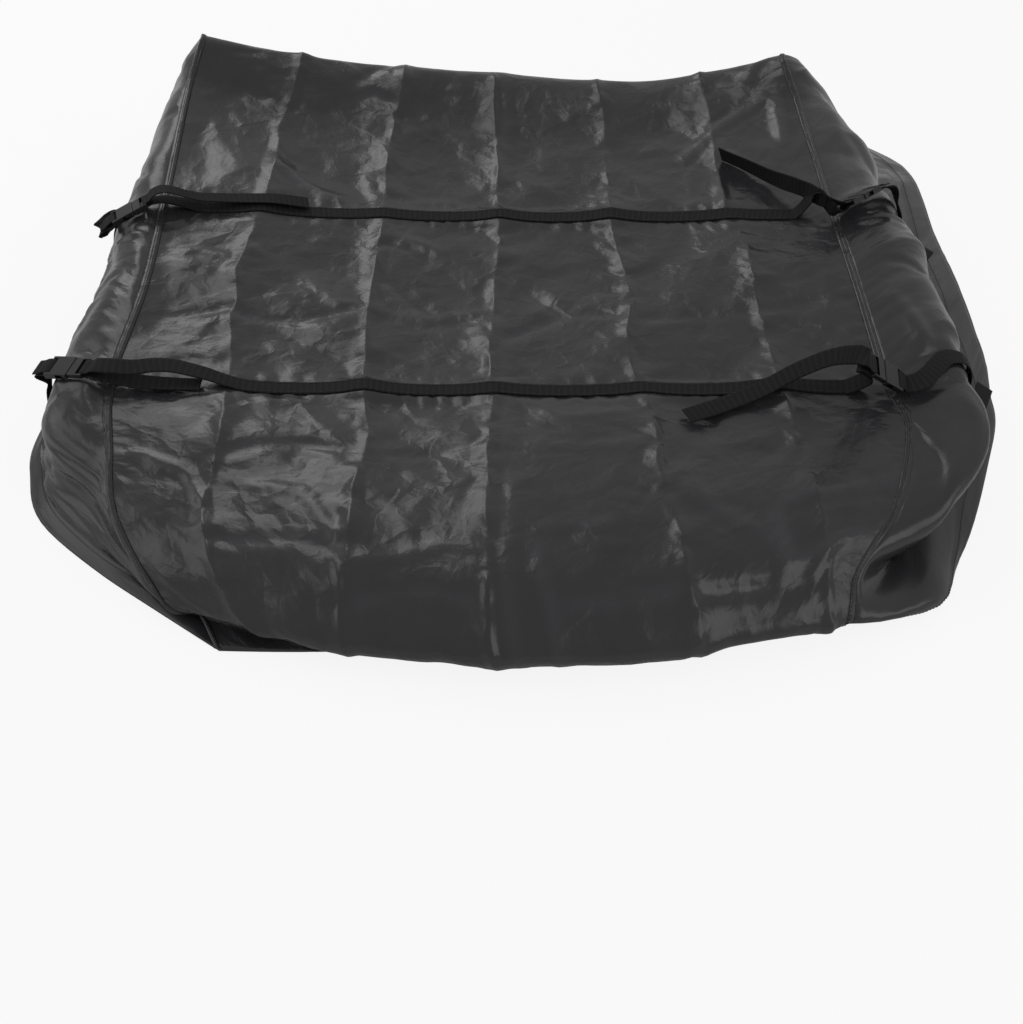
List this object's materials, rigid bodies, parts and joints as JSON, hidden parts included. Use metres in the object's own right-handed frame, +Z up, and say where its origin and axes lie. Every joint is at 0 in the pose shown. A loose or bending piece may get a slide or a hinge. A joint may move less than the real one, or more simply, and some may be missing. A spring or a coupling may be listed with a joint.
{
  "type": "rooftop cargo bag",
  "caption": "Soft cloth cargo cover for a car roof, laid mouth down, with bound side seams and webbing straps that close with side-release buckles.",
  "frame": {"origin": "middle of the bag's outline on the floor it lies on", "axes": "+Z up, +Y towards the raised rear edge, +X to the right seen from the front"},
  "size_m": [1.3888, 1.4545, 0.2634],
  "materials": {
    "cloth": "coated polyester, soft sheen",
    "binding": "woven tape",
    "webbing": "ribbed polypropylene webbing",
    "buckle": "moulded acetal"
  },
  "bodies": {
    "bag": {"centre_panel": "cloth", "left_side_panel": "cloth", "right_side_panel": "cloth", "left_seam_binding": "binding", "right_seam_binding": "binding", "rear_strap": "webbing", "front_strap": "webbing", "rear_left_wall_strap": "webbing", "rear_right_wall_strap": "webbing", "front_left_wall_strap": "webbing", "front_right_wall_strap": "webbing", "rear_left_buckle_socket": "buckle", "rear_right_buckle_socket": "buckle", "front_left_buckle_socket": "buckle", "front_right_buckle_socket": "buckle"},
    "rear_left_plug": {"rear_left_buckle_plug": "buckle"},
    "rear_right_plug": {"rear_right_buckle_plug": "buckle"},
    "front_left_plug": {"front_left_buckle_plug": "buckle"},
    "front_right_plug": {"front_right_buckle_plug": "buckle"}
  },
  "joints": [
    {"name": "rear_left_release", "type": "slide", "parent": "bag", "child": "rear_left_plug", "axis": [0.8762, 0.2957, 0.3806], "range_m": [0, 0.022], "deforming": ["rear_strap"]},
    {"name": "rear_right_release", "type": "slide", "parent": "bag", "child": "rear_right_plug", "axis": [-0.7853, -0.6135, -0.0831], "range_m": [0, 0.022], "deforming": ["rear_strap"]},
    {"name": "front_left_release", "type": "slide", "parent": "bag", "child": "front_left_plug", "axis": [0.9418, -0.2882, 0.1732], "range_m": [0, 0.022], "deforming": ["front_strap"]},
    {"name": "front_right_release", "type": "slide", "parent": "bag", "child": "front_right_plug", "axis": [-0.7717, -0.2265, 0.5943], "range_m": [0, 0.022], "deforming": ["front_strap"]}
  ]
}
